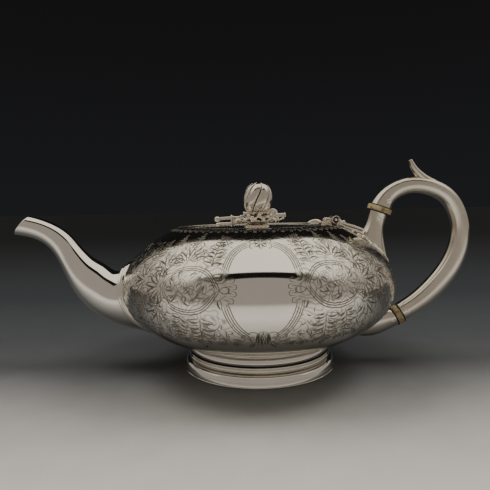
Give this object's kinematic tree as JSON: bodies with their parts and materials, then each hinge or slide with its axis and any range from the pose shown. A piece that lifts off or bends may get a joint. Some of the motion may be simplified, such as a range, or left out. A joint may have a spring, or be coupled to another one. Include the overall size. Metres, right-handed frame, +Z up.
{
  "type": "teapot",
  "caption": "Low round silver teapot on a moulded foot, with a curved spout, an insulated loop handle and a hinged lid with a fruit finial.",
  "frame": {"origin": "centre of the foot's underside, on the surface the teapot stands on", "axes": "+Z up, +X towards the handle, -X towards the spout, +Y away from the side with the engraved cartouche facing the viewer"},
  "size_m": [0.2807, 0.162, 0.1243],
  "materials": {
    "engraved_silver": "polished, engraved",
    "polished_silver": "polished",
    "cast_silver": "cast and chased",
    "bone": "smooth"
  },
  "bodies": {
    "pot": {"body_shell": "engraved_silver", "mouth_bezel": "polished_silver", "foot_ring": "polished_silver", "foot_reed": "polished_silver", "foot_rim_wire": "polished_silver", "spout": "polished_silver", "spout_collar": "cast_silver", "upper_socket": "polished_silver", "upper_socket_leaf": "cast_silver", "lower_socket": "polished_silver", "upper_insulator": "bone", "lower_insulator": "bone", "handle": "polished_silver", "thumb_piece": "cast_silver", "handle_pins": "polished_silver", "hinge_arm": "polished_silver", "hinge_pin": "polished_silver"},
    "lid": {"lid_plate": "engraved_silver", "lid_bezel": "polished_silver", "lid_hinge_leaf": "polished_silver", "hinge_bud": "cast_silver", "finial_fruit": "cast_silver", "finial_pedestal": "cast_silver", "finial_leaves": "cast_silver", "finial_stems": "cast_silver", "finial_stud": "polished_silver", "finial_washer": "polished_silver", "finial_nut": "polished_silver"}
  },
  "joints": [
    {"name": "lid_hinge", "type": "hinge", "parent": "pot", "child": "lid", "pos_m": [0.0473, 0, 0.0884], "axis": [0, 1, 0], "range_deg": [0, 95]}
  ]
}
